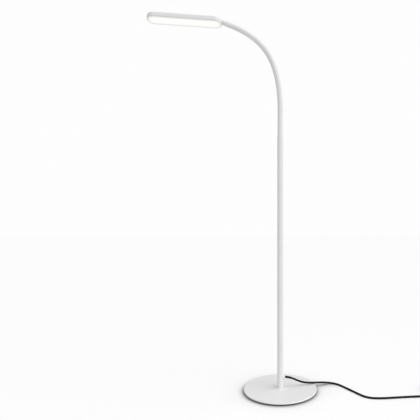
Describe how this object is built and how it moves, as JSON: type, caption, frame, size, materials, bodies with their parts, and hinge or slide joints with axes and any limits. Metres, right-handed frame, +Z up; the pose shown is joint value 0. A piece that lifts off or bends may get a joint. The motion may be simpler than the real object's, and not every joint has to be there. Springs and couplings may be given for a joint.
{
  "type": "gooseneck reading floor lamp",
  "caption": "White floor lamp: round weighted base, slim pole, flexible neck that bends over, and a flat round-ended light head that turns on its neck; black power cord with a two-pin plug.",
  "frame": {"origin": "on the floor at the centre of the base's underside, on the pole's axis", "axes": "+Z up along the pole; the neck bends over towards -X in the XZ plane; the power cord leaves the pole's foot towards +X"},
  "size_m": [1.1502, 0.251, 1.2744],
  "materials": {
    "white_coat": "fine satin white powder coat",
    "white_sleeve": "smooth satin white",
    "white_plastic": "fine satin white moulded plastic",
    "opal_panel": "opal diffuser, lit from behind",
    "weight_iron": "raw, oiled",
    "zinc_steel": "zinc plated",
    "hose_steel": "wound steel hose",
    "dark_washer": "grey friction washer",
    "pad_foam": "dense black foam",
    "black_cord": "smooth black flexible PVC",
    "black_plastic": "black moulded plastic",
    "inner_lead": "white inner lead",
    "board_white": "white solder mask on aluminium",
    "board_green": "green circuit board",
    "chip_yellow": "phosphor chips",
    "pin_nickel": "nickel plated brass"
  },
  "bodies": {
    "stand": {"base_pad": "pad_foam", "base_weight": "weight_iron", "base_cover": "white_coat", "foot_rosette": "white_coat", "base_bolt": "zinc_steel", "base_washer": "zinc_steel", "lower_pole_tube": "white_coat", "upper_pole_tube": "white_coat", "pole_foot_insert": "zinc_steel", "pole_coupler": "zinc_steel", "neck_adaptor": "white_coat", "neck_grub_screw": "zinc_steel", "cord_gland": "white_plastic", "gland_clip": "white_plastic", "pole_lead": "inner_lead", "power_cord": "black_cord", "cord_coil": "black_cord", "plug_cord": "black_cord", "cord_tie": "black_plastic", "plug_body": "black_plastic", "plug_pins": "pin_nickel", "neck_sleeve_01": "white_sleeve", "neck_core_01": "hose_steel"},
    "neck_link_02": {"neck_sleeve_02": "white_sleeve", "neck_core_02": "hose_steel"},
    "neck_link_03": {"neck_sleeve_03": "white_sleeve", "neck_core_03": "hose_steel"},
    "neck_link_04": {"neck_sleeve_04": "white_sleeve", "neck_core_04": "hose_steel"},
    "neck_link_05": {"neck_sleeve_05": "white_sleeve", "neck_core_05": "hose_steel"},
    "neck_link_06": {"neck_sleeve_06": "white_sleeve", "neck_core_06": "hose_steel"},
    "neck_link_07": {"neck_sleeve_07": "white_sleeve", "neck_core_07": "hose_steel"},
    "neck_link_08": {"neck_sleeve_08": "white_sleeve", "neck_core_08": "hose_steel"},
    "neck_link_09": {"neck_sleeve_09": "white_sleeve", "neck_core_09": "hose_steel"},
    "neck_link_10": {"neck_sleeve_10": "white_sleeve", "neck_core_10": "hose_steel", "neck_ferrule": "white_coat", "head_nipple": "zinc_steel", "head_washer": "dark_washer", "head_nut": "zinc_steel"},
    "head": {"head_shell": "white_plastic", "head_bezel": "white_plastic", "head_diffuser": "opal_panel", "led_board": "board_white", "led_chips": "chip_yellow", "led_screws": "zinc_steel", "driver_board": "board_green", "driver_parts": "black_plastic", "touch_board": "board_green", "head_lead": "inner_lead"}
  },
  "joints": [
    {"name": "neck_curl_01", "type": "hinge", "parent": "stand", "child": "neck_link_02", "pos_m": [0, 0, 0.919], "axis": [0, -1, 0], "range_deg": [-26, 14]},
    {"name": "neck_side_02", "type": "hinge", "parent": "neck_link_02", "child": "neck_link_03", "pos_m": [0, 0, 0.964], "axis": [1, 0, 0], "range_deg": [-18, 18]},
    {"name": "neck_curl_03", "type": "hinge", "parent": "neck_link_03", "child": "neck_link_04", "pos_m": [-0.00157, 0, 1.00896], "axis": [0, -1, 0], "range_deg": [-26, 14]},
    {"name": "neck_side_04", "type": "hinge", "parent": "neck_link_04", "child": "neck_link_05", "pos_m": [-0.00686, 0, 1.05363], "axis": [0.9863, 0, 0.165], "range_deg": [-18, 18]},
    {"name": "neck_curl_05", "type": "hinge", "parent": "neck_link_05", "child": "neck_link_06", "pos_m": [-0.01716, 0, 1.0974], "axis": [0, -1, 0], "range_deg": [-26, 14]},
    {"name": "neck_side_06", "type": "hinge", "parent": "neck_link_06", "child": "neck_link_07", "pos_m": [-0.03418, 0, 1.139], "axis": [0.887, 0, 0.4617], "range_deg": [-18, 18]},
    {"name": "neck_curl_07", "type": "hinge", "parent": "neck_link_07", "child": "neck_link_08", "pos_m": [-0.05945, 0, 1.17611], "axis": [0, -1, 0], "range_deg": [-26, 14]},
    {"name": "neck_side_08", "type": "hinge", "parent": "neck_link_08", "child": "neck_link_09", "pos_m": [-0.09255, 0, 1.20644], "axis": [0.5878, 0, 0.809], "range_deg": [-18, 18]},
    {"name": "neck_curl_09", "type": "hinge", "parent": "neck_link_09", "child": "neck_link_10", "pos_m": [-0.13098, 0, 1.22976], "axis": [0, -1, 0], "range_deg": [-26, 14]},
    {"name": "head_turn", "type": "hinge", "parent": "neck_link_10", "child": "head", "pos_m": [-0.19718, 0, 1.25465], "axis": [-0.9994, 0, 0.0349], "range_deg": [-98, 82]}
  ]
}
